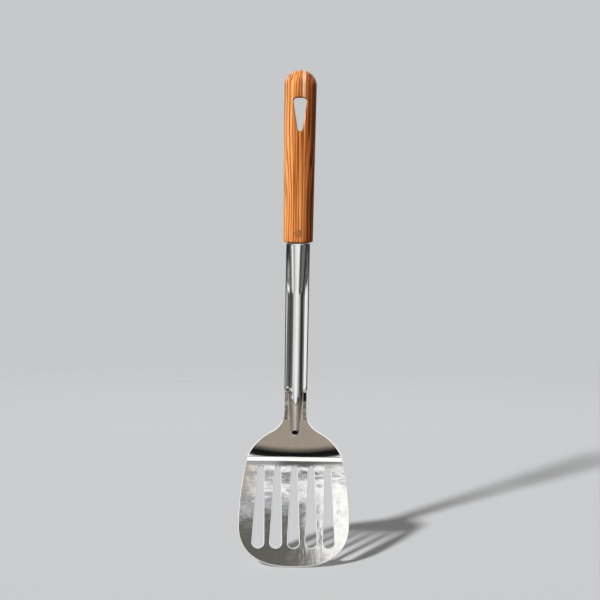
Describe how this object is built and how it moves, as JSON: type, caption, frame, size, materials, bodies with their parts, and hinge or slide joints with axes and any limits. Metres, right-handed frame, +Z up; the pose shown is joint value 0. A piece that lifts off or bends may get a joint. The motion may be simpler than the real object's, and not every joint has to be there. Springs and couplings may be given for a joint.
{
  "type": "slotted turner",
  "caption": "Kitchen turner with a flat slotted steel blade bent at the heel, a pressed steel tube shaft and a turned wooden handle with a teardrop hang hole.",
  "frame": {"origin": "on the handle's axis, at the upper edge of the teardrop hang hole, where a hook bears", "axes": "+Z up along the handle and shaft, -Y out of the food side, X across the blade"},
  "size_m": [0.08, 0.0608, 0.3532],
  "materials": {
    "blade_steel": "satin stainless steel with polished edges",
    "shaft_steel": "mirror-polished stainless steel",
    "handle_wood": "striped orange-brown wood, satin varnish",
    "plug_wood": "plain brown wood, satin varnish",
    "pin_steel": "plain steel"
  },
  "bodies": {
    "root": {"blade": "blade_steel", "shaft": "shaft_steel", "handle": "handle_wood", "handle_pin": "pin_steel", "pin_plug_front": "plug_wood", "pin_plug_back": "plug_wood"}
  },
  "joints": []
}
